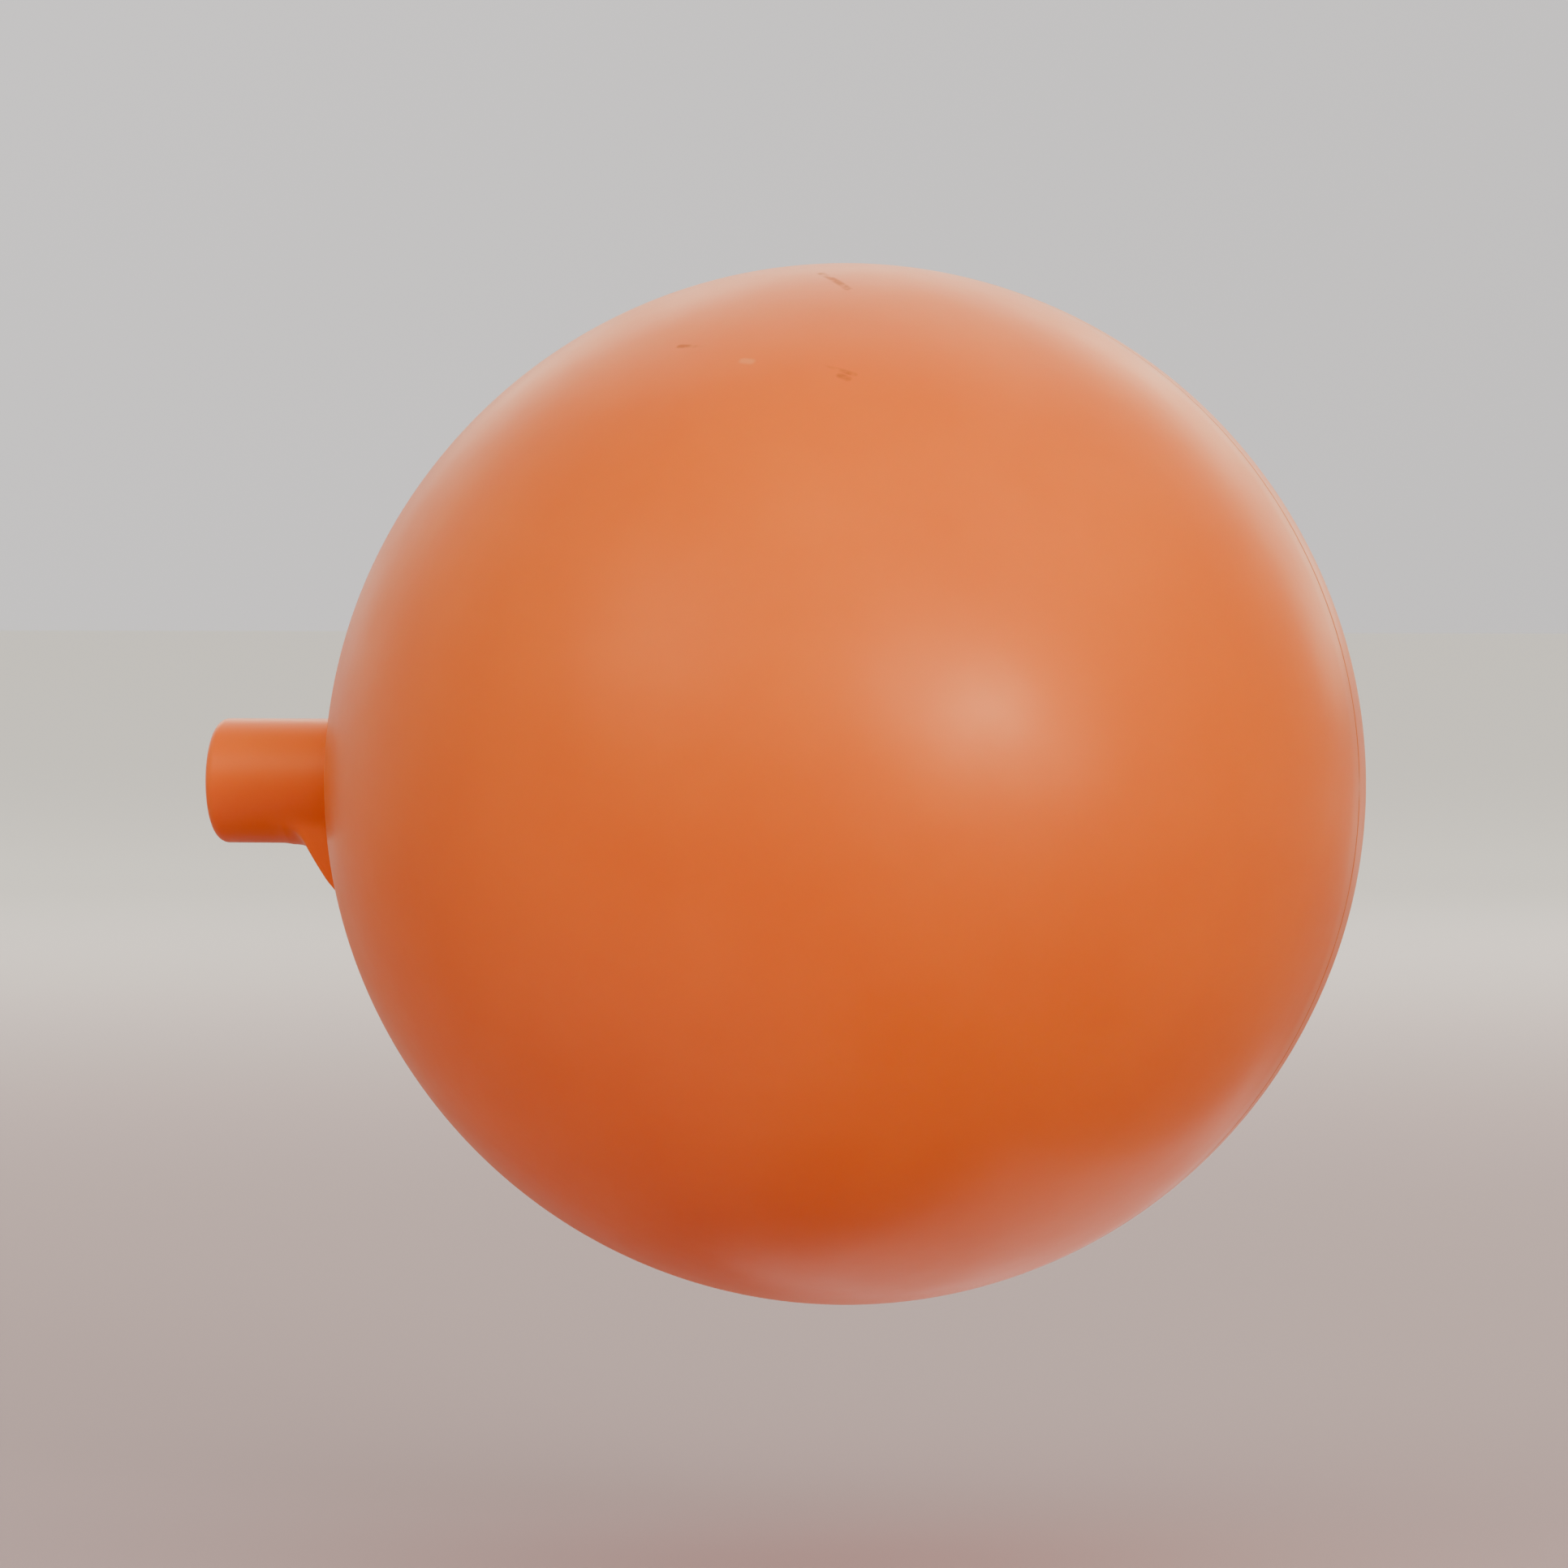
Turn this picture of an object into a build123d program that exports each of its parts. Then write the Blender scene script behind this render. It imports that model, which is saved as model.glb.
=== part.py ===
from build123d import *

import math
import os

# Table tennis practice ball that spins on the end of a rod. Millimetres, +Z up.
# The origin is the ball's centre. The neck points along -X and its gusset hangs on the -Z side.

# Driving dimensions
ball_radius = 20.0  # standard 40 mm ball
wall = 0.5
neck_radius = 2.43
neck_tip_x = -25.0
neck_tip_round = 0.4
neck_root_fillet = 0.25

gusset_width = 3.8
gusset_start_x = -21.97  # where its curve leaves the neck's underside
gusset_curve_radius = 1.25
gusset_slope_deg = 49.0
gusset_line_length = 2.75  # long enough to end inside the ball's wall

lap_thickness = wall / 2
lap_width = 1.2
lap_stop_radius = 3.4  # the lap stops this far from the spin axis, short of the neck and the socket

spindle_radius = 1.5
rod_radius = 1.0
spindle_mouth_x = -24.2  # a little inside the neck's mouth
spindle_end_x = 17.6
spindle_lead_in = 0.2
running_clearance = 0.05

neck_boss_face_x = -19.0
washer_thickness = 0.4
washer_radius = 2.4
washer_hole_radius = spindle_radius + 0.1
washer_gap = 0.07  # to the neck's inner face
collar_gap = 0.03  # to the washer
collar_length = 2.0
collar_radius = 2.4
collar_chamfer = 0.25

socket_radius = 2.4
socket_mouth_x = 16.8
socket_floor_x = 19.3
socket_lead_in = 0.3
plug_stem_radius = 0.7  # in a hole narrower than the rod's, so the step between them stops the rod
plug_stem_length = 4.0
plug_head_length = 0.8
plug_nose_gap = 0.1  # end play, to the socket's floor

# Derived sizes
inner_radius = ball_radius - wall
bearing_radius = spindle_radius + running_clearance
plug_stem_x = spindle_end_x - plug_stem_length
plug_nose_x = socket_floor_x - plug_nose_gap
washer_x = neck_boss_face_x + washer_gap
collar_x = washer_x + washer_thickness + collar_gap
roomy = 3 * ball_radius  # larger than the whole part, for cutting tools


def turned(profile):
    """A solid of revolution about the spin axis, from a wire in the upper half of the XZ plane."""
    return revolve(make_face(profile), Axis.X)


def spin_cylinder(radius, x_from, x_to):
    """A cylinder on the spin axis."""
    middle = (x_from + x_to) / 2
    return Pos(middle, 0, 0) * Rot(0, 90, 0) * Cylinder(radius, x_to - x_from)


def at(x, height):
    """A point of the XZ plane."""
    return Vector(x, 0, height)


def neck_body():
    """The neck, solid: rounded tip, a small fillet onto the ball, and a boss that ends inside the ball."""
    fillet_height = neck_radius + neck_root_fillet
    fillet_reach = ball_radius + neck_root_fillet
    fillet_x = -math.sqrt(fillet_reach**2 - fillet_height**2)
    centre = at(fillet_x, fillet_height)
    to_neck = at(0, -1)
    to_ball = centre.normalized() * -1
    on_neck = centre + to_neck * neck_root_fillet
    on_ball = centre + to_ball * neck_root_fillet
    on_fillet = centre + (to_neck + to_ball).normalized() * neck_root_fillet

    tip_inner = at(neck_tip_x, neck_radius - neck_tip_round)
    tip_outer = at(neck_tip_x + neck_tip_round, neck_radius)
    tip_centre = at(neck_tip_x + neck_tip_round, neck_radius - neck_tip_round)
    on_tip = tip_centre + at(-1, 1).normalized() * neck_tip_round

    outline = Wire(
        [
            Edge.make_line(at(neck_tip_x, 0), tip_inner),
            Edge.make_three_point_arc(tip_inner, on_tip, tip_outer),
            Edge.make_line(tip_outer, on_neck),
            Edge.make_three_point_arc(on_neck, on_fillet, on_ball),
            Edge.make_line(on_ball, at(neck_boss_face_x, neck_radius)),
            Edge.make_line(at(neck_boss_face_x, neck_radius), at(neck_boss_face_x, 0)),
            Edge.make_line(at(neck_boss_face_x, 0), at(neck_tip_x, 0)),
        ]
    )
    return turned(outline)


def gusset_body():
    """The web under the neck: a concave curve off the neck, then a straight slope down to the ball."""
    slope = math.radians(gusset_slope_deg)
    curve_centre = at(gusset_start_x, -neck_radius - gusset_curve_radius)
    curve_start = at(gusset_start_x, -neck_radius)
    curve_middle = curve_centre + at(math.sin(slope / 2), math.cos(slope / 2)) * gusset_curve_radius
    curve_end = curve_centre + at(math.sin(slope), math.cos(slope)) * gusset_curve_radius
    foot = curve_end + at(math.cos(slope), -math.sin(slope)) * gusset_line_length
    back_top = at(foot.X, -neck_radius / 2)
    neck_inside = at(gusset_start_x, -neck_radius / 2)
    outline = Wire(
        [
            Edge.make_three_point_arc(curve_start, curve_middle, curve_end),
            Edge.make_line(curve_end, foot),
            Edge.make_line(foot, back_top),
            Edge.make_line(back_top, neck_inside),
            Edge.make_line(neck_inside, curve_start),
        ]
    )
    web = extrude(make_face(outline), gusset_width / 2, dir=(0, 1, 0), both=True)
    return web - Sphere(ball_radius - lap_thickness)


def socket_body():
    """The moulded cup inside the far pole, solid: it carries the spindle's inner end."""
    boss = spin_cylinder(socket_radius, socket_mouth_x, ball_radius)
    return boss & Sphere(ball_radius - lap_thickness)


def ball_body():
    """Both halves as one: shell, neck, gusset and socket, bored for the spindle."""
    shell = Sphere(ball_radius) - Sphere(inner_radius)
    body = shell + neck_body() + gusset_body() + socket_body()
    neck_bore = spin_cylinder(bearing_radius, neck_tip_x - wall, neck_boss_face_x + wall)
    socket_bore = spin_cylinder(bearing_radius, socket_mouth_x - wall, socket_floor_x)
    mouth_radius = bearing_radius + socket_lead_in
    lead_in = Pos(socket_mouth_x + socket_lead_in / 2, 0, 0) * Rot(0, 90, 0) * Cone(
        mouth_radius, bearing_radius, socket_lead_in
    )
    return body - neck_bore - socket_bore - lead_in


def lap_ring():
    """The tongue of the glued joint: the inner half of the wall, on the back side of the joint plane."""
    ring = Sphere(ball_radius - lap_thickness) - Sphere(inner_radius)
    slab = Pos(0, lap_width / 2, 0) * Box(roomy, lap_width, roomy)
    return (ring & slab) - spin_cylinder(lap_stop_radius, -roomy, roomy)


def half_shells():
    """Front half with the tongue and back half with the matching rebate, split through the neck."""
    body = ball_body()
    lap = lap_ring()
    front_side = Pos(0, -roomy / 2, 0) * Box(roomy, roomy, roomy)
    back_side = Pos(0, roomy / 2, 0) * Box(roomy, roomy, roomy)
    front = (body & front_side) + lap
    back = (body & back_side) - lap
    return front, back


def spindle_tube():
    """The tube that grips the rod and stays still. Past the rod's stop its bore narrows for the plug."""
    tube = spin_cylinder(spindle_radius, spindle_mouth_x, spindle_end_x)
    rod_hole = spin_cylinder(rod_radius, spindle_mouth_x, plug_stem_x)
    plug_hole = spin_cylinder(plug_stem_radius, plug_stem_x, spindle_end_x)
    lead_in = Pos(spindle_mouth_x + spindle_lead_in / 2, 0, 0) * Rot(0, 90, 0) * Cone(
        rod_radius + spindle_lead_in, rod_radius, spindle_lead_in
    )
    return tube - rod_hole - plug_hole - lead_in


def stop_collar():
    """The ring pressed on the spindle that keeps the ball from flying off it."""
    collar = spin_cylinder(collar_radius, collar_x, collar_x + collar_length)
    rims = collar.edges().filter_by(GeomType.CIRCLE)
    return chamfer(rims, collar_chamfer) - spin_cylinder(spindle_radius, -roomy, roomy)


def thrust_washer():
    """The low-friction washer between the collar and the neck's inner face."""
    disc = spin_cylinder(washer_radius, washer_x, washer_x + washer_thickness)
    return disc - spin_cylinder(washer_hole_radius, -roomy, roomy)


def pivot_plug():
    """The plug in the spindle's inner end: its domed nose turns against the socket's floor."""
    head_x = spindle_end_x + plug_head_length
    nose_height = plug_nose_x - head_x
    dome_radius = (spindle_radius**2 + nose_height**2) / (2 * nose_height)
    half_angle = math.asin(spindle_radius / dome_radius) / 2
    dome_centre = at(plug_nose_x - dome_radius, 0)
    on_dome = dome_centre + at(math.cos(half_angle), math.sin(half_angle)) * dome_radius
    outline = Wire(
        [
            Edge.make_line(at(plug_stem_x, 0), at(plug_stem_x, plug_stem_radius)),
            Edge.make_line(at(plug_stem_x, plug_stem_radius), at(spindle_end_x, plug_stem_radius)),
            Edge.make_line(at(spindle_end_x, plug_stem_radius), at(spindle_end_x, spindle_radius)),
            Edge.make_line(at(spindle_end_x, spindle_radius), at(head_x, spindle_radius)),
            Edge.make_three_point_arc(at(head_x, spindle_radius), on_dome, at(plug_nose_x, 0)),
            Edge.make_line(at(plug_nose_x, 0), at(plug_stem_x, 0)),
        ]
    )
    return turned(outline)


front_half, back_half = half_shells()
nodes = {
    "front_half_shell": front_half,
    "back_half_shell": back_half,
    "spindle_tube": spindle_tube(),
    "stop_collar": stop_collar(),
    "thrust_washer": thrust_washer(),
    "pivot_plug": pivot_plug(),
}

os.makedirs("parts", exist_ok=True)
for name, shape in nodes.items():
    export_step(shape, f"parts/{name}.step")
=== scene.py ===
import math

import bmesh
import bpy
import numpy as np
from mathutils import Matrix, Vector


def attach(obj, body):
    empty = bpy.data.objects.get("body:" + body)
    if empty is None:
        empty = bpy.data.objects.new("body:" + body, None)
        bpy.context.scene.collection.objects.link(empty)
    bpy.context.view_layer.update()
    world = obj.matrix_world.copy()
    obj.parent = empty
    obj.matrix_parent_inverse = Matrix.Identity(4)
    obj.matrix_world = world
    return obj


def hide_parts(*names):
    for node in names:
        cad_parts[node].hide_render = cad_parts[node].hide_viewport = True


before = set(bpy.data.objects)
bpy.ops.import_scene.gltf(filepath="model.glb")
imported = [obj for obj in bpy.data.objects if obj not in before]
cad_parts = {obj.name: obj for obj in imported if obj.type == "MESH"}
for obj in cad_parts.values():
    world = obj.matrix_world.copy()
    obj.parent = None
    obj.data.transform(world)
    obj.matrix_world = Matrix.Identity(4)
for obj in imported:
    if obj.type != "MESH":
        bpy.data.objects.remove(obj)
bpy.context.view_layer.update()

MM = 0.001

# The ball and its neck, in millimetres. The spin axis is X and the neck points along -X.
BALL_RADIUS = 20.0
WALL = 0.5
NECK_RADIUS = 2.43
NECK_TIP_X = -25.0
TIP_ROUND = 0.4
MOUTH_ROUND = 0.15
ROOT_FILLET = 0.25
BORE_RADIUS = 1.55
NECK_BOSS_X = -19.0

GUSSET_HALF_WIDTH = 1.9
GUSSET_START_X = -21.97
GUSSET_CURVE = 1.25
GUSSET_SLOPE = math.radians(49.0)
GUSSET_EDGE_ROUND = 0.35
GUSSET_BLEND = 0.22
GUSSET_RUN_IN_SLOPE = 0.4  # how gently it rises out of the neck before its curve starts
GUSSET_SQUARE_DEPTH = 1.4  # below the neck, where its underside has gone from round to flat
GUSSET_END_X = -19.2  # past its foot, inside the ball's wall

SOCKET_RADIUS = 2.4
SOCKET_MOUTH_X = 16.8
SOCKET_FLOOR_X = 19.3
SOCKET_LEAD_IN = 0.3
SOCKET_SIDE = 2.0  # from its mouth back to the ball's wall

SEAM_GROOVE_DEPTH = 0.03
SEAM_GROOVE_WIDTH = 0.1
SEAM_COLUMNS = (0.0, 0.03, 0.06, 0.1, 0.16, 0.3)  # arc distances from the joint plane
OUT_OF_ROUND = 0.04
WAVE_MIDDLE = 0.5  # with the swing, keeps the fall between none and all of OUT_OF_ROUND
WAVE_SWING = 0.31
ROUND_AT_NECK = -0.97  # the ball is truly round past these two, which are x over its radius
ROUND_AT_SOCKET = 0.99
NECK_FADE = 0.2
SOCKET_FADE = 0.1

# How finely the shells are divided along their profile and round the axis
BALL_ROWS = 190
BESIDE_NECK_FROM = 163.0  # degrees from the far pole, where the rows get closer for the gusset
BESIDE_NECK_STEP = 0.2
BESIDE_NECK_ROWS = 48
FILLET_ROWS = 8
NECK_ROWS = 80
TIP_ROWS = 10
MOUTH_ROWS = 6
BORE_ROWS = 12
HOLLOW_ROWS = 90
MIDDLE_COLUMNS = 170
ROOT_STEP = 0.03  # from the root fillet's end to the next row
BORE_STEP = 0.1  # from the mouth's rounding to the bore's first row
PLAIN_END_ROWS = 12  # the outside's last rows, round the tip, which have no gusset and no groove
STEADY_RADIUS = 1.0  # nearer the axis than this, the columns by the joint keep their angle
NEVER_ZERO = 1e-3
SHARP_ANGLE = math.radians(40)

NOISE_SPREAD = (0.3, 0.7)  # where most of a noise texture's values lie

# Orange plastic. Noise scales are per metre, and a bump is its strength and its height in metres
BALL_DEEP = (0.81, 0.192, 0.070)
BALL_BRIGHT = (0.85, 0.215, 0.081)
BALL_ROUGHNESS = (0.33, 0.40)
BALL_IOR = 1.54
BALL_SUBSURFACE = 0.35
BALL_SUBSURFACE_REACH = (1.0, 0.35, 0.12)
BALL_SUBSURFACE_SCALE = 0.0012
MOTTLE_SCALE = 140.0
FLOW_STRETCH = (40.0, 260.0, 260.0)
FLOW_SHARE = 0.3
SHEEN_SCALE = 210.0
PEEL_SCALE = 900.0
PEEL_BUMP = (0.10, 0.00006)
GRAIN_SCALE = 3800.0
GRAIN_BUMP = (0.10, 0.00002)

# The glued joint: a thin dark line with a buffed band on each side, measured from the joint plane
JOINT_LINE_FADE = (0.05 * MM, 0.12 * MM)
JOINT_BAND_FADE = (0.8 * MM, 1.6 * MM)
JOINT_SHARE = 0.55
BUFFED_BY = 0.04
FILE_MARKS_STRETCH = (400.0, 9000.0, 400.0)
FILE_MARKS_BUMP = (0.12, 0.00002)
JOINT_SHADE = (0.62, 0.13, 0.03)
MARK_SHADE = (0.36, 0.10, 0.04)
PALE_SHADE = (0.92, 0.60, 0.42)

# Marks of use on the top of the front half: start, end and half width, in millimetres on the ball
DARK_MARKS = (
    ((0.1, -4.6, 19.5), (1.6, -6.6, 18.8), 0.22),
    ((-4.0, -10.4, 16.6), (3.1, -12.3, 15.5), 0.18),
    ((2.6, -12.4, 15.4), (2.9, -12.5, 15.3), 0.22),
)
PALE_MARK = ((-1.2, -11.9, 16.0), (-0.9, -12.0, 16.0), 0.25)
MARK_CORE = 0.3  # the share of a mark's half width where it is at full strength
MARK_BREAKS_SCALE = 1900.0
MARK_BREAKS = (0.30, 0.52)
DARK_SHARE = 0.45
PALE_SHARE = 0.16
WORN_BY = 0.15

# Brass and acetal
BRASS_CLEAN = (0.66, 0.45, 0.17)
BRASS_DULL = (0.50, 0.32, 0.12)
BRASS_ROUGHNESS = (0.22, 0.36)
BRASS_DULLED_BY = 0.1
BRASS_LINES_STRETCH = (90.0, 5200.0, 5200.0)
BRASS_LINES_BUMP = (0.15, 0.00001)
BRASS_PATCHES_SCALE = 260.0
BRASS_PATCHES = (0.35, 0.65)
ACETAL_DEEP = (0.80, 0.78, 0.72)
ACETAL_BRIGHT = (0.86, 0.85, 0.80)
ACETAL_IOR = 1.48
ACETAL_ROUGHNESS = (0.36, 0.46)
ACETAL_CLOUDS_SCALE = 700.0
ACETAL_RINGS_STRETCH = (9000.0, 120.0, 120.0)
ACETAL_RINGS_BUMP = (0.12, 0.00001)

# Studio light. Directions are how far to the camera's right, up, and back towards it
WARM = (1.0, 0.98, 0.68)
NEUTRAL = (1.0, 0.97, 0.96)
COOL = (1.0, 0.85, 1.4)
TENT_GLOWS = (  # direction, strength, colour
    ((0.7, 0.6, 0.3), 0.70, WARM),
    ((-1.0, 0.2, 0.2), 0.50, WARM),
    ((0.0, 0.7, 0.7), 0.64, WARM),
    ((0.0, 0.2, 1.0), 0.10, WARM),
    ((0.0, 0.3, -1.0), 0.52, NEUTRAL),
    ((-0.7, 0.3, -0.7), 0.20, NEUTRAL),
)
GLOW_FADE = 2.0  # the power of the cosine with which a glow fades
LAMP_COLOUR = (1.0, 0.98, 0.72)
SOFT_BOXES = (  # name, direction, distance in metres, width and height, watts
    ("overhead_rear", (0.0, 0.8, -0.6), 0.8, (0.8, 0.6), 0.90),
    ("key", (0.476, 0.257, 0.841), 0.6, (0.16, 0.10), 0.60),
    ("key_high", (0.240, 0.351, 0.905), 0.6, (0.16, 0.10), 0.22),
    ("key_low", (0.713, 0.116, 0.690), 0.6, (0.16, 0.10), 0.17),
    ("fill_left", (-0.62, 0.49, 0.61), 0.6, (0.3, 0.3), 0.26),
    ("rim_right", (0.5, 0.35, -0.8), 0.6, (0.3, 0.3), 0.32),
    ("rim_top", (0.0, 0.45, -0.9), 0.6, (0.5, 0.2), 0.32),
    ("rim_left", (-0.5, 0.35, -0.8), 0.6, (0.3, 0.3), 0.08),
)
LOW_CARD_LIFT = 0.0005
# Low cards: name, millimetres to the right of the ball and behind it, degrees clockwise from above,
# width and length in metres, watts, colour, and whether the ball mirrors it
LOW_CARDS = (
    ("low_card", (20.0, 25.0), 30.0, (0.026, 0.07), 0.0026, (1.0, 1.0, 1.0), True),
    ("low_fill", (-30.0, -30.0), 0.0, (0.05, 0.05), 0.0019, COOL, False),
)

# How the camera looks at it: azimuth from the -Y side towards +X, and elevation
VIEW_AZIMUTH = math.radians(13.0)
VIEW_ELEVATION = math.radians(1.5)
LENS = 200.0
SENSOR = 36.0
CLIP_RANGE = (0.01, 50.0)
BALL_SHARE = 0.3323  # the ball's radius, as a share of the frame's width
BALL_OFFSET = 0.0388  # how far right of the frame's centre the ball's centre is, as a share of its width

# The floor
FLOOR_Z = -0.030  # the part is held by its rod, so it hangs above the floor
FLOOR_HALF_SIZE = 4.0
FLOOR_ROUGHNESS = 0.8
FLOOR_NEAR = (0.41, 0.32, 0.41)
FLOOR_FAR = (0.80, 0.77, 0.92)  # paler where the lamps don't reach, so the far floor doesn't look dark
FLOOR_FADE = (0.15, 0.80)  # metres from under the ball


def arc(centre, radius, start, end, count):
    """Points on an arc in the profile plane. Angles in degrees, from +X towards the radial axis."""
    angle = np.radians(np.linspace(start, end, count))
    return np.column_stack((centre[0] + radius * np.cos(angle), centre[1] + radius * np.sin(angle)))


def line(start, end, count):
    """Evenly spaced points from start up to, and not including, end."""
    share = np.linspace(0.0, 1.0, count, endpoint=False)[:, None]
    return np.asarray(start) * (1 - share) + np.asarray(end) * share


def outer_profile():
    """The outside in the profile plane, from the far pole over the ball and the neck to the mouth."""
    fillet_height = NECK_RADIUS + ROOT_FILLET
    fillet_x = -math.sqrt((BALL_RADIUS + ROOT_FILLET) ** 2 - fillet_height**2)
    root_angle = math.degrees(math.atan2(fillet_height, fillet_x))
    tip_x = NECK_TIP_X + TIP_ROUND
    mouth_radius = BORE_RADIUS + MOUTH_ROUND
    return np.vstack(
        (
            arc((0, 0), BALL_RADIUS, 0, BESIDE_NECK_FROM, BALL_ROWS),
            arc((0, 0), BALL_RADIUS, BESIDE_NECK_FROM + BESIDE_NECK_STEP, root_angle, BESIDE_NECK_ROWS),
            arc((fillet_x, fillet_height), ROOT_FILLET, root_angle - 180, -90, FILLET_ROWS)[1:],
            line((fillet_x - ROOT_STEP, NECK_RADIUS), (tip_x, NECK_RADIUS), NECK_ROWS),
            arc((tip_x, NECK_RADIUS - TIP_ROUND), TIP_ROUND, 90, 180, TIP_ROWS),
            arc((NECK_TIP_X + MOUTH_ROUND, mouth_radius), MOUTH_ROUND, 180, 270, MOUTH_ROWS),
        )
    )


def inner_profile():
    """The inside, from the mouth along the bore and the hollow to the socket's floor."""
    inner = BALL_RADIUS - WALL
    bore_start = (NECK_TIP_X + MOUTH_ROUND + BORE_STEP, BORE_RADIUS)
    boss_angle = math.degrees(math.asin(NECK_RADIUS / inner))
    boss_root_x = -inner * math.cos(math.radians(boss_angle))
    socket_angle = math.degrees(math.asin(SOCKET_RADIUS / inner))
    lead_in_radius = BORE_RADIUS + SOCKET_LEAD_IN
    lead_in_x = SOCKET_MOUTH_X + SOCKET_LEAD_IN
    return np.vstack(
        (
            line(bore_start, (NECK_BOSS_X, BORE_RADIUS), BORE_ROWS),
            line((NECK_BOSS_X, BORE_RADIUS), (NECK_BOSS_X, NECK_RADIUS), 3),
            line((NECK_BOSS_X, NECK_RADIUS), (boss_root_x, NECK_RADIUS), 2),
            arc((0, 0), inner, 180 - boss_angle, socket_angle, HOLLOW_ROWS),
            line((SOCKET_MOUTH_X + SOCKET_SIDE, SOCKET_RADIUS), (SOCKET_MOUTH_X, SOCKET_RADIUS), 3),
            line((SOCKET_MOUTH_X, SOCKET_RADIUS), (SOCKET_MOUTH_X, lead_in_radius), 2),
            line((SOCKET_MOUTH_X, lead_in_radius), (lead_in_x, BORE_RADIUS), 2),
            line((lead_in_x, BORE_RADIUS), (SOCKET_FLOOR_X, BORE_RADIUS), 4),
            line((SOCKET_FLOOR_X, BORE_RADIUS), (SOCKET_FLOOR_X, 0.0), 3),
            [(SOCKET_FLOOR_X, 0.0)],
        )
    )


def smooth_max(a, b, reach):
    """The larger of two values, blended where they differ by less than reach."""
    near = np.clip(reach - np.abs(a - b), 0.0, None) / reach
    return np.maximum(a, b) + near**2 * reach / 4


def gusset_radius(x, angle):
    """How far from the spin axis the gusset reaches, at x and at an angle from straight down."""
    curve_end_x = GUSSET_START_X + GUSSET_CURVE * math.sin(GUSSET_SLOPE)
    curve_drop = GUSSET_CURVE * (1 - math.cos(GUSSET_SLOPE))
    along = np.clip(x - GUSSET_START_X, 0.0, curve_end_x - GUSSET_START_X)
    on_curve = GUSSET_CURVE - np.sqrt(GUSSET_CURVE**2 - along**2)
    on_line = curve_drop + (x - curve_end_x) * math.tan(GUSSET_SLOPE)
    run_in = GUSSET_RUN_IN_SLOPE * np.minimum(x - GUSSET_START_X, 0.0)
    depth = NECK_RADIUS + run_in + np.where(x < curve_end_x, on_curve, on_line)
    down = np.maximum(np.cos(angle), NEVER_ZERO)
    across = np.maximum(np.abs(np.sin(angle)), NEVER_ZERO)
    squareness = np.clip((depth - NECK_RADIUS) / GUSSET_SQUARE_DEPTH, 0.0, 1.0)
    bottom = depth * (1 + squareness * (1 / down - 1))
    side = GUSSET_HALF_WIDTH / across
    reach = -smooth_max(-bottom, -side, GUSSET_EDGE_ROUND)
    run_in_x = GUSSET_START_X - GUSSET_BLEND / GUSSET_RUN_IN_SLOPE
    present = (x > run_in_x) & (x < GUSSET_END_X) & (np.cos(angle) > 0)
    return np.where(present, reach, 0.0)


def half_shell(name, side):
    """One half of the ball, a closed solid: side is -1 for the front half and 1 for the back half.

    Rows follow the profile from the far pole to the socket's floor, and columns run from the
    bottom joint edge round to the top one. The joint's V groove is cut into the outer rows.
    """
    outside = outer_profile()
    profile = np.vstack((outside, inner_profile()))
    outer_rows = len(outside)
    tangent = np.gradient(profile, axis=0)
    normal = np.column_stack((-tangent[:, 1], tangent[:, 0]))
    normal /= np.linalg.norm(normal, axis=1)[:, None]
    facing = np.sum(normal[:outer_rows] * profile[:outer_rows], axis=1)
    normal[:outer_rows] *= np.sign(facing)[:, None]

    rows = profile[1:-1]
    steady_radius = np.maximum(rows[:, 1], STEADY_RADIUS)[:, None]
    near = np.array(SEAM_COLUMNS)[None, :] / steady_radius
    share = np.linspace(0.0, 1.0, MIDDLE_COLUMNS + 2)[None, 1:-1]
    middle = near[:, -1:] + (math.pi - 2 * near[:, -1:]) * share
    angle = np.hstack((near, middle, math.pi - near[:, ::-1]))

    x = np.repeat(rows[:, :1], angle.shape[1], axis=1)
    radius = np.repeat(rows[:, 1:], angle.shape[1], axis=1)
    on_outside = np.arange(1, len(profile) - 1)[:, None] < outer_rows - PLAIN_END_ROWS
    gusset = gusset_radius(x, angle)
    blended = smooth_max(radius, gusset, GUSSET_BLEND)
    radius = np.where(on_outside & (x < 0) & (gusset > 0), blended, radius)

    from_joint = np.minimum(angle, math.pi - angle) * steady_radius
    groove = SEAM_GROOVE_DEPTH * np.clip(1 - from_joint / SEAM_GROOVE_WIDTH, 0.0, 1.0)
    groove = np.where(on_outside, groove, 0.0)
    x = x - groove * normal[1:-1, :1]
    radius = radius - groove * normal[1:-1, 1:]

    points = np.stack((x, side * radius * np.sin(angle), -radius * np.cos(angle)), axis=-1)
    points = points.reshape(-1, 3)
    poles = np.array(((profile[0, 0], 0.0, 0.0), (profile[-1, 0], 0.0, 0.0)))
    points = np.vstack((points, poles))
    points = points * (1 - out_of_round(points))[:, None]

    row_count, column_count = angle.shape
    index = np.arange(row_count * column_count).reshape(row_count, column_count)
    far_pole, floor_pole = len(points) - 2, len(points) - 1
    corners = (index[:-1, :-1], index[1:, :-1], index[1:, 1:], index[:-1, 1:])
    faces = np.stack(corners, axis=-1).reshape(-1, 4).tolist()
    for column in range(column_count - 1):
        faces.append((far_pole, index[0, column], index[0, column + 1]))
        faces.append((floor_pole, index[-1, column + 1], index[-1, column]))
    joint_face = [far_pole, *index[:, -1], floor_pole, *index[::-1, 0]]
    faces.append(joint_face)

    mesh = bpy.data.meshes.new(name)
    mesh.from_pydata((points * MM).tolist(), [], faces)
    shell = bpy.data.objects.new(name, mesh)
    bpy.context.scene.collection.objects.link(shell)
    tidy_mesh(shell)
    return shell


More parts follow.
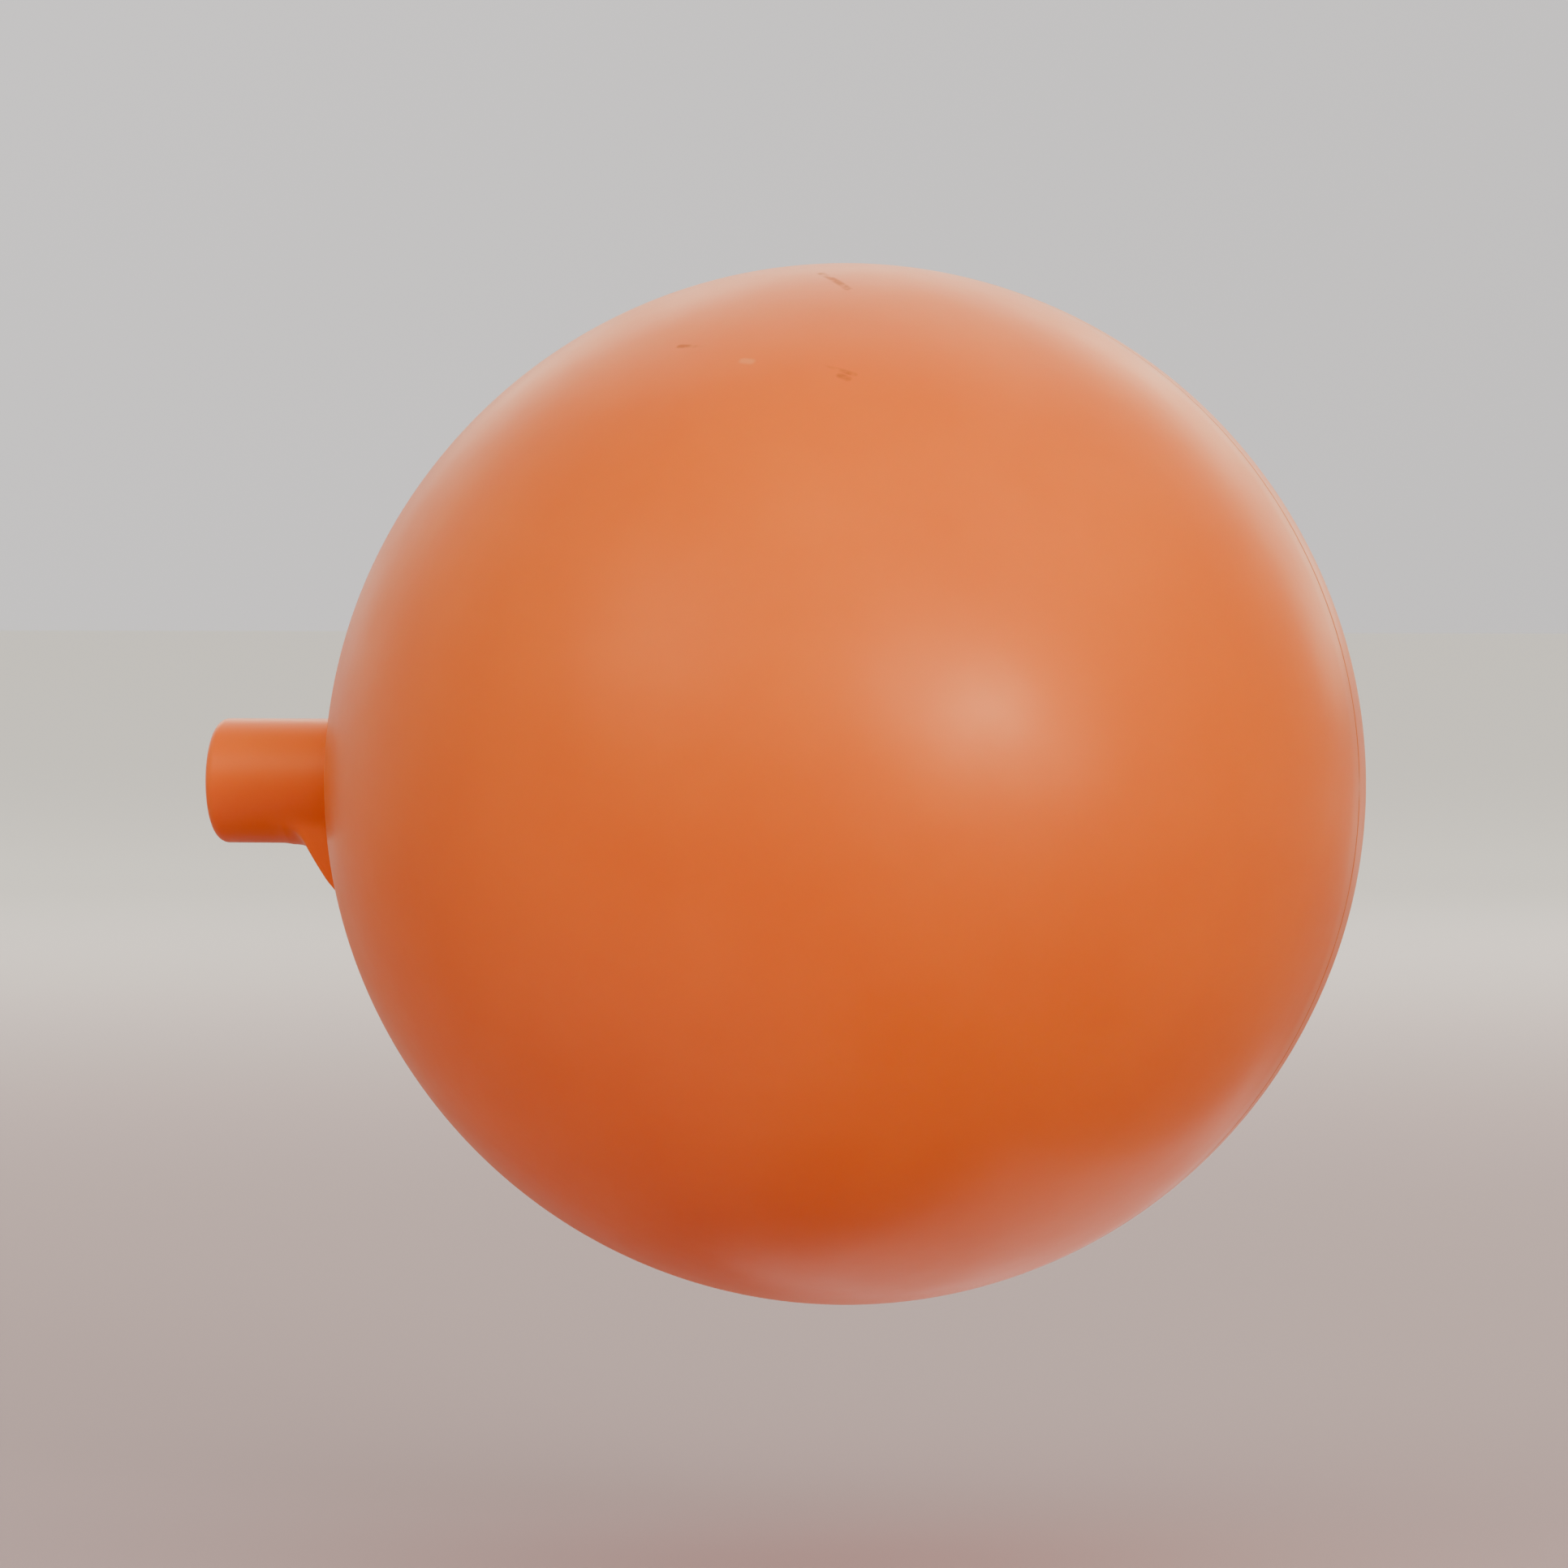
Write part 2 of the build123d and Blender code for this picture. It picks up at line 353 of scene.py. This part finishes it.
def out_of_round(points):
    """The share by which a moulded ball falls short of a true sphere, fading out by the neck."""
    away = points / np.linalg.norm(points, axis=1)[:, None]
    wave = (  # slow waves with no common period, so that no side repeats another
        np.sin(2.3 * away[:, 0] + 1.1) * np.cos(2.9 * away[:, 2] - 0.4)
        + 0.6 * np.sin(3.7 * away[:, 2] + 2.1 * away[:, 0] + 0.8)
    )
    from_neck = np.clip((away[:, 0] - ROUND_AT_NECK) / NECK_FADE, 0.0, 1.0)
    from_socket = np.clip((ROUND_AT_SOCKET - away[:, 0]) / SOCKET_FADE, 0.0, 1.0)
    fall = OUT_OF_ROUND / BALL_RADIUS * (WAVE_MIDDLE + WAVE_SWING * wave)
    return fall * from_neck * from_socket


def tidy_mesh(piece):
    """Faces outward, the joint face in triangles, smooth shading with real corners kept sharp."""
    grid = bmesh.new()
    grid.from_mesh(piece.data)
    large = [face for face in grid.faces if len(face.verts) > 4]
    bmesh.ops.triangulate(grid, faces=large)
    bmesh.ops.recalc_face_normals(grid, faces=grid.faces)
    for face in grid.faces:
        face.smooth = True
    grid.to_mesh(piece.data)
    grid.free()
    piece.data.set_sharp_from_angle(angle=SHARP_ANGLE)


# ---- materials ----


def new_material(name):
    """A node material, with its shader, its tree and the piece's own coordinates in metres."""
    material = bpy.data.materials.new(name)
    material.use_nodes = True
    tree = material.node_tree
    place = tree.nodes.new("ShaderNodeTexCoord").outputs["Object"]
    return material, tree.nodes["Principled BSDF"], tree, place


def stretched(tree, place, stretch):
    """The coordinates scaled along each axis, so that a noise runs in streaks."""
    scaled = tree.nodes.new("ShaderNodeVectorMath")
    scaled.operation = "MULTIPLY"
    scaled.inputs[1].default_value = stretch
    tree.links.new(place, scaled.inputs[0])
    return scaled.outputs["Vector"]


def noise(tree, place, scale, detail=2.0):
    """A noise texture's value, of so many features a metre."""
    texture = tree.nodes.new("ShaderNodeTexNoise")
    texture.inputs["Scale"].default_value = scale
    texture.inputs["Detail"].default_value = detail
    tree.links.new(place, texture.inputs["Vector"])
    return texture.outputs["Fac"]


def remap(tree, value, from_range, to_range, smooth=False):
    """A value taken from one range to another and held inside it."""
    node = tree.nodes.new("ShaderNodeMapRange")
    if smooth:
        node.interpolation_type = "SMOOTHSTEP"
    node.inputs["From Min"].default_value, node.inputs["From Max"].default_value = from_range
    node.inputs["To Min"].default_value, node.inputs["To Max"].default_value = to_range
    tree.links.new(value, node.inputs["Value"])
    return node.outputs["Result"]


def combine(tree, operation, first, second):
    """A maths node on two values; the second may be a plain number."""
    node = tree.nodes.new("ShaderNodeMath")
    node.operation = operation
    tree.links.new(first, node.inputs[0])
    if isinstance(second, float):
        node.inputs[1].default_value = second
    else:
        tree.links.new(second, node.inputs[1])
    return node.outputs["Value"]


def vector_step(tree, operation, first, second, output="Vector"):
    """A vector maths node on a linked vector and a fixed or linked second one."""
    node = tree.nodes.new("ShaderNodeVectorMath")
    node.operation = operation
    tree.links.new(first, node.inputs[0])
    if isinstance(second, Vector):
        node.inputs[1].default_value = second
    else:
        tree.links.new(second, node.inputs[1])
    return node.outputs[output]


def blend(tree, factor, first, second):
    """A colour between two: each is either fixed or linked."""
    node = tree.nodes.new("ShaderNodeMix")
    node.data_type = "RGBA"
    for socket, colour in ((node.inputs["A"], first), (node.inputs["B"], second)):
        if isinstance(colour, tuple):
            socket.default_value = (*colour, 1.0)
        else:
            tree.links.new(colour, socket)
    tree.links.new(factor, node.inputs["Factor"])
    return node.outputs["Result"]


def bumped(tree, shader, height, strength, distance, below=None):
    """Bump on the shader's normal, laid over another bump where one is given."""
    bump = tree.nodes.new("ShaderNodeBump")
    bump.inputs["Strength"].default_value = strength
    bump.inputs["Distance"].default_value = distance
    tree.links.new(height, bump.inputs["Height"])
    if below is not None:
        tree.links.new(below, bump.inputs["Normal"])
    tree.links.new(bump.outputs["Normal"], shader.inputs["Normal"])
    return bump.outputs["Normal"]


def scuff(tree, place, start, end, half_width):
    """1 along a line on the ball between two points in millimetres, fading to 0 at its edges."""
    start, end = Vector(start) * MM, Vector(end) * MM
    along = end - start
    from_start = vector_step(tree, "SUBTRACT", place, start)
    share = vector_step(tree, "DOT_PRODUCT", from_start, along / along.length_squared, "Value")
    held = remap(tree, share, (0.0, 1.0), (0.0, 1.0))
    nearest = tree.nodes.new("ShaderNodeVectorMath")
    nearest.operation = "SCALE"
    nearest.inputs[0].default_value = along
    tree.links.new(held, nearest.inputs["Scale"])
    offset = vector_step(tree, "DISTANCE", from_start, nearest.outputs["Vector"], "Value")
    fade = (half_width * MM * MARK_CORE, half_width * MM)
    return remap(tree, offset, fade, (1.0, 0.0), smooth=True)


def ball_plastic():
    """Satin orange ABS: mottled, with an orange-peel skin, a buffed joint and a few marks of use."""
    material, shader, tree, place = new_material("ball_plastic_look")
    shader.inputs["IOR"].default_value = BALL_IOR
    shader.inputs["Subsurface Weight"].default_value = BALL_SUBSURFACE
    shader.inputs["Subsurface Radius"].default_value = BALL_SUBSURFACE_REACH
    shader.inputs["Subsurface Scale"].default_value = BALL_SUBSURFACE_SCALE

    mottle = remap(tree, noise(tree, place, MOTTLE_SCALE, detail=4.0), NOISE_SPREAD, (0.0, 1.0))
    flow_noise = noise(tree, stretched(tree, place, FLOW_STRETCH), 1.0, detail=3.0)
    flow = remap(tree, flow_noise, NOISE_SPREAD, (0.0, 1.0))
    plain = blend(tree, mottle, BALL_DEEP, BALL_BRIGHT)
    streaked = blend(tree, combine(tree, "MULTIPLY", flow, FLOW_SHARE), plain, BALL_DEEP)

    from_joint = vector_step(tree, "DOT_PRODUCT", place, Vector((0.0, 1.0, 0.0)), "Value")
    from_joint = combine(tree, "ABSOLUTE", from_joint, 0.0)
    joint_line = remap(tree, from_joint, JOINT_LINE_FADE, (1.0, 0.0), smooth=True)
    joint_band = remap(tree, from_joint, JOINT_BAND_FADE, (1.0, 0.0), smooth=True)
    with_joint = blend(tree, combine(tree, "MULTIPLY", joint_line, JOINT_SHARE), streaked, JOINT_SHADE)

    broken = remap(tree, noise(tree, place, MARK_BREAKS_SCALE, detail=3.0), MARK_BREAKS, (0.0, 1.0))
    dark = scuff(tree, place, *DARK_MARKS[0])
    for mark in DARK_MARKS[1:]:
        dark = combine(tree, "MAXIMUM", dark, scuff(tree, place, *mark))
    dark = combine(tree, "MULTIPLY", dark, broken)
    pale = scuff(tree, place, *PALE_MARK)
    marked = blend(tree, combine(tree, "MULTIPLY", dark, DARK_SHARE), with_joint, MARK_SHADE)
    marked = blend(tree, combine(tree, "MULTIPLY", pale, PALE_SHARE), marked, PALE_SHADE)
    tree.links.new(marked, shader.inputs["Base Color"])

    sheen = remap(tree, noise(tree, place, SHEEN_SCALE, detail=3.0), NOISE_SPREAD, BALL_ROUGHNESS)
    buffed = combine(tree, "SUBTRACT", sheen, combine(tree, "MULTIPLY", joint_band, BUFFED_BY))
    worn = combine(tree, "ADD", buffed, combine(tree, "MULTIPLY", dark, WORN_BY))
    tree.links.new(worn, shader.inputs["Roughness"])

    peel = bumped(tree, shader, noise(tree, place, PEEL_SCALE), *PEEL_BUMP)
    grain = bumped(tree, shader, noise(tree, place, GRAIN_SCALE), *GRAIN_BUMP, peel)
    file_marks = noise(tree, stretched(tree, place, FILE_MARKS_STRETCH), 1.0)
    bumped(tree, shader, combine(tree, "MULTIPLY", file_marks, joint_band), *FILE_MARKS_BUMP, grain)
    return material


def brass():
    """Drawn brass: fine lines along the tube, with patches dulled by handling."""
    material, shader, tree, place = new_material("spindle_brass_look")
    shader.inputs["Metallic"].default_value = 1.0
    dulled = remap(tree, noise(tree, place, BRASS_PATCHES_SCALE, detail=4.0), BRASS_PATCHES, (0.0, 1.0))
    tree.links.new(blend(tree, dulled, BRASS_CLEAN, BRASS_DULL), shader.inputs["Base Color"])
    lines = noise(tree, stretched(tree, place, BRASS_LINES_STRETCH), 1.0, detail=3.0)
    shine = remap(tree, lines, NOISE_SPREAD, BRASS_ROUGHNESS)
    roughness = combine(tree, "ADD", shine, combine(tree, "MULTIPLY", dulled, BRASS_DULLED_BY))
    tree.links.new(roughness, shader.inputs["Roughness"])
    bumped(tree, shader, lines, *BRASS_LINES_BUMP)
    return material


def acetal():
    """Turned natural acetal: off-white with faint tool rings."""
    material, shader, tree, place = new_material("bearing_plastic_look")
    shader.inputs["IOR"].default_value = ACETAL_IOR
    clouded = noise(tree, place, ACETAL_CLOUDS_SCALE)
    tree.links.new(blend(tree, clouded, ACETAL_DEEP, ACETAL_BRIGHT), shader.inputs["Base Color"])
    rings = noise(tree, stretched(tree, place, ACETAL_RINGS_STRETCH), 1.0, detail=1.0)
    tree.links.new(remap(tree, rings, NOISE_SPREAD, ACETAL_ROUGHNESS), shader.inputs["Roughness"])
    bumped(tree, shader, rings, *ACETAL_RINGS_BUMP)
    return material


def dress_nodes(material, *names):
    """Puts a material on CAD nodes that stay in view as they are."""
    for name in names:
        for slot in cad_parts[name].material_slots:
            slot.material = material


# ---- stage ----


def floor():
    """A plain paper floor, paler in the distance."""
    mesh = bpy.data.meshes.new("floor")
    half = FLOOR_HALF_SIZE
    corners = [(-half, -half, 0), (half, -half, 0), (half, half, 0), (-half, half, 0)]
    mesh.from_pydata(corners, [], [(0, 1, 2, 3)])
    plane = bpy.data.objects.new("floor", mesh)
    plane.location.z = FLOOR_Z
    bpy.context.scene.collection.objects.link(plane)
    material, shader, tree, place = new_material("floor_paper")
    distance = vector_step(tree, "LENGTH", place, Vector(), "Value")
    far = remap(tree, distance, FLOOR_FADE, (0.0, 1.0), smooth=True)
    tree.links.new(blend(tree, far, FLOOR_NEAR, FLOOR_FAR), shader.inputs["Base Color"])
    shader.inputs["Roughness"].default_value = FLOOR_ROUGHNESS
    plane.data.materials.append(material)


def soft_light(name, direction, distance, size, watts, colour):
    """An area light that faces the ball, unseen by the camera, some metres away along a direction."""
    lamp = bpy.data.lights.new(name, "AREA")
    lamp.shape = "RECTANGLE"
    lamp.size, lamp.size_y = size
    lamp.energy = watts
    lamp.color = colour
    body = bpy.data.objects.new(name, lamp)
    away = Vector(direction).normalized()
    body.location = away * distance
    body.rotation_euler = away.to_track_quat("Z", "Y").to_euler()
    body.visible_camera = False
    bpy.context.scene.collection.objects.link(body)
    return body


def view_axes():
    """The camera's right, up and backward directions in the part's frame."""
    sin_a, cos_a = math.sin(VIEW_AZIMUTH), math.cos(VIEW_AZIMUTH)
    sin_e, cos_e = math.sin(VIEW_ELEVATION), math.cos(VIEW_ELEVATION)
    back = Vector((sin_a * cos_e, -cos_a * cos_e, sin_e))
    right = Vector((cos_a, sin_a, 0.0))
    return right, back.cross(right), back


def from_view(right_share, up_share, back_share):
    """A direction given by how much it goes to the camera's right, up and back towards it."""
    right, up, back = view_axes()
    return right * right_share + up * up_share + back * back_share


def camera():
    """A long lens that looks squarely at the ball, which sits right of centre to leave room for the neck."""
    half_angle = math.atan(SENSOR / 2 / LENS)
    ball_angle = math.atan(2 * BALL_SHARE * math.tan(half_angle))
    distance = BALL_RADIUS * MM / math.sin(ball_angle)
    right, _, back = view_axes()
    frame_width = 2 * distance * math.tan(half_angle)
    data = bpy.data.cameras.new("camera")
    data.lens = LENS
    data.sensor_width = SENSOR
    data.clip_start, data.clip_end = CLIP_RANGE
    eye = bpy.data.objects.new("camera", data)
    eye.matrix_world = Matrix.Translation(
        back * distance - right * (BALL_OFFSET * frame_width)
    ) @ back.to_track_quat("Z", "Y").to_matrix().to_4x4()
    bpy.context.scene.collection.objects.link(eye)
    bpy.context.scene.camera = eye


def studio_world():
    """The light tent: soft glows added on black, each fading with the angle from its direction."""
    world = bpy.data.worlds.new("studio")
    world.use_nodes = True
    tree = world.node_tree
    tree.nodes.clear()
    ray = tree.nodes.new("ShaderNodeTexCoord").outputs["Generated"]
    total = None
    for direction, strength, colour in TENT_GLOWS:
        toward = vector_step(tree, "DOT_PRODUCT", ray, from_view(*direction).normalized(), "Value")
        faced = combine(tree, "MAXIMUM", toward, 0.0)
        glow = tree.nodes.new("ShaderNodeBackground")
        glow.inputs["Color"].default_value = (*colour, 1.0)
        faded = combine(tree, "POWER", faced, GLOW_FADE)
        tree.links.new(combine(tree, "MULTIPLY", faded, strength), glow.inputs["Strength"])
        if total is None:
            total = glow.outputs["Background"]
            continue
        both = tree.nodes.new("ShaderNodeAddShader")
        tree.links.new(total, both.inputs[0])
        tree.links.new(glow.outputs["Background"], both.inputs[1])
        total = both.outputs["Shader"]
    output = tree.nodes.new("ShaderNodeOutputWorld")
    tree.links.new(total, output.inputs["Surface"])
    bpy.context.scene.world = world


def lights():
    """The tent, the lamps and the cards. The camera sees none of the lamps or cards."""
    studio_world()
    for name, direction, distance, size, watts in SOFT_BOXES:
        soft_light(name, from_view(*direction), distance, size, watts, LAMP_COLOUR)
    low_cards()


def low_cards():
    """Small pale reflectors flat on the floor around the ball, which light it from below."""
    right, _, back = view_axes()
    for name, (aside, behind), turn, size, watts, colour, mirrored in LOW_CARDS:
        card = soft_light(name, Vector((0, 0, 1)), 0.0, size, watts, colour)
        card.location = (right * aside - back * behind) * MM
        card.location.z = FLOOR_Z + LOW_CARD_LIFT
        card.rotation_euler = (math.pi, 0, VIEW_AZIMUTH - math.radians(turn))
        card.visible_glossy = mirrored


camera()
bpy.context.scene.view_settings.view_transform = "AgX"
bpy.context.scene.view_settings.look = "AgX - High Contrast"
orange = ball_plastic()
for node, side in (("front_half_shell", -1), ("back_half_shell", 1)):
    shell = half_shell(node.replace("half_shell", "shell_skin"), side)
    shell.data.materials.append(orange)
    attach(shell, "ball")
    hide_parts(node)
dress_nodes(brass(), "spindle_tube", "stop_collar")
dress_nodes(acetal(), "thrust_washer", "pivot_plug")
floor()
lights()
